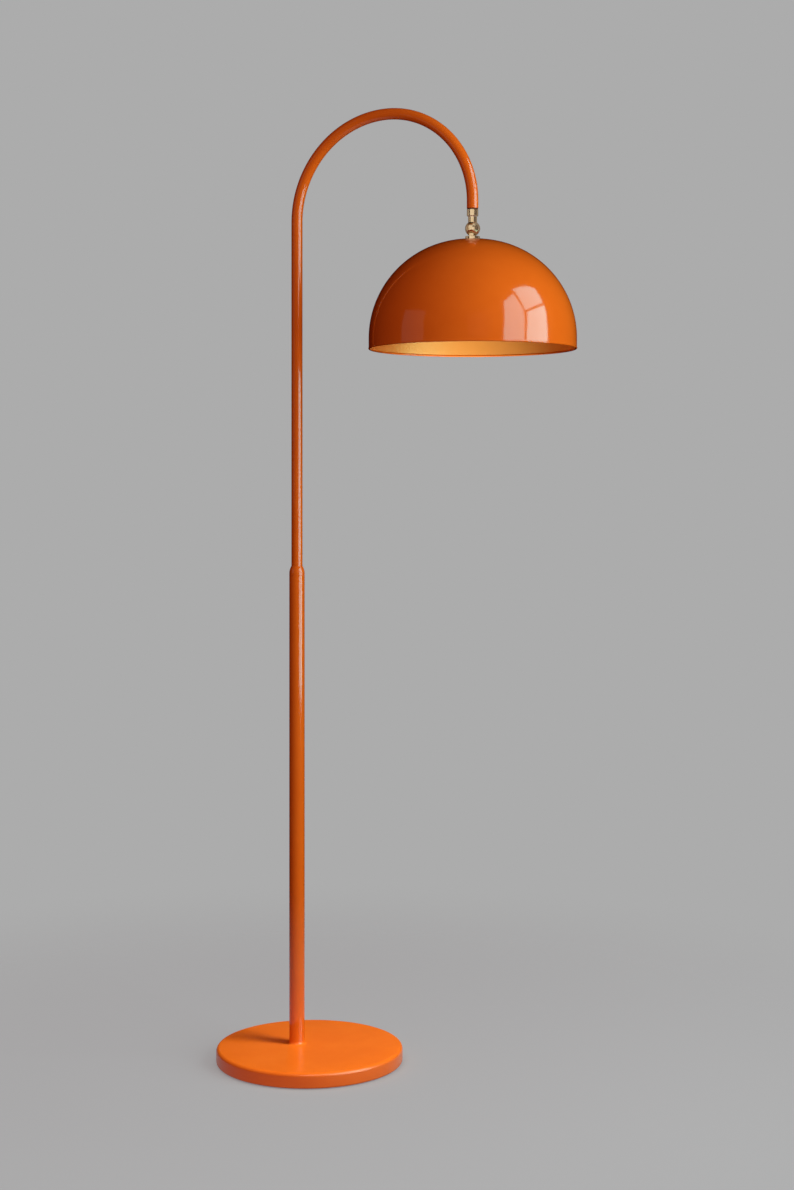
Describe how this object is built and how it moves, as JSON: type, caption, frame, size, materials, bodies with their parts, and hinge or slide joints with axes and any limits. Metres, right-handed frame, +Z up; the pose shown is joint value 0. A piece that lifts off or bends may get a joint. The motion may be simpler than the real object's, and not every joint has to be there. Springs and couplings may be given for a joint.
{
  "type": "floor lamp",
  "caption": "Arc floor lamp: round weighted base, sliding and turning pole with a bent arm, and a dome shade hung on a ball-shaped tilting swivel.",
  "frame": {"origin": "centre of the base's underside, on the floor", "axes": "+Z up along the pole, +X along the arm from the pole to the shade at rest"},
  "size_m": [0.6035, 0.326, 1.5378],
  "materials": {
    "orange_enamel_steel": "gloss",
    "orange_enamel_aluminium": "gloss enamel outside, satin gold lacquer inside",
    "polished_brass": "polished",
    "stamped_brass": "stamped",
    "zinc_steel": "zinc plated",
    "cast_iron": "as cast",
    "natural_nylon": "moulded",
    "black_plastic": "moulded, satin",
    "eva_foam": "closed-cell foam sheet",
    "lead_sheath": "extruded",
    "core_sheath": "extruded",
    "steatite": "unglazed",
    "solder_tin": "soldered",
    "nickelled_cap": "bright",
    "black_glass": "moulded",
    "opal_glass": "opal, satin",
    "clear_glass": "clear",
    "filament_coating": "phosphor coated"
  },
  "bodies": {
    "base": {"floor_pad": "eva_foam", "base_weight": "cast_iron", "base_cover": "orange_enamel_steel", "cable_gland": "black_plastic", "foot_washer": "zinc_steel", "foot_nut": "zinc_steel", "pole_stud": "zinc_steel", "pole_plug": "zinc_steel", "pole_tube": "orange_enamel_steel", "pole_collar": "orange_enamel_steel", "collar_bush": "natural_nylon"},
    "riser": {"riser_guide": "natural_nylon"},
    "arm": {"arm_tube": "orange_enamel_steel", "arm_lead": "lead_sheath", "tip_insert": "zinc_steel", "swivel_collar": "polished_brass", "pivot_washer": "natural_nylon"},
    "swivel": {"swivel_fork": "polished_brass", "pivot_nut": "zinc_steel", "hinge_screw": "polished_brass", "tilt_washers": "natural_nylon"},
    "shade": {"swivel_tongue": "polished_brass", "seat_washer": "polished_brass", "shade_dome": "orange_enamel_aluminium", "stem_washer": "zinc_steel", "stem_nut": "zinc_steel", "holder_cap": "black_plastic", "holder_sleeve": "black_plastic", "contact_block": "steatite", "holder_liner": "stamped_brass", "centre_contact": "stamped_brass", "terminal_screws": "zinc_steel", "holder_cores": "core_sheath", "bulb_contact": "solder_tin", "bulb_insulator": "black_glass", "bulb_cap": "nickelled_cap", "bulb_glass": "opal_glass", "bulb_mount": "clear_glass", "bulb_filaments": "filament_coating"}
  },
  "joints": [
    {"name": "arm_height", "type": "slide", "parent": "base", "child": "riser", "axis": [0, 0, 1], "range_m": [-0.5, 0.12]},
    {"name": "arm_turn", "type": "hinge", "parent": "riser", "child": "arm", "pos_m": [-0.0233, 0, 0.8014], "axis": [0, 0, 1], "range_deg": [-170, 170]},
    {"name": "shade_turn", "type": "hinge", "parent": "arm", "child": "swivel", "pos_m": [0.2873, 0, 1.3688], "axis": [0, 0, 1], "range_deg": [-170, 170]},
    {"name": "shade_tilt", "type": "hinge", "parent": "swivel", "child": "shade", "pos_m": [0.2873, 0, 1.3371], "axis": [1, 0, 0], "range_deg": [-80, 80]}
  ]
}
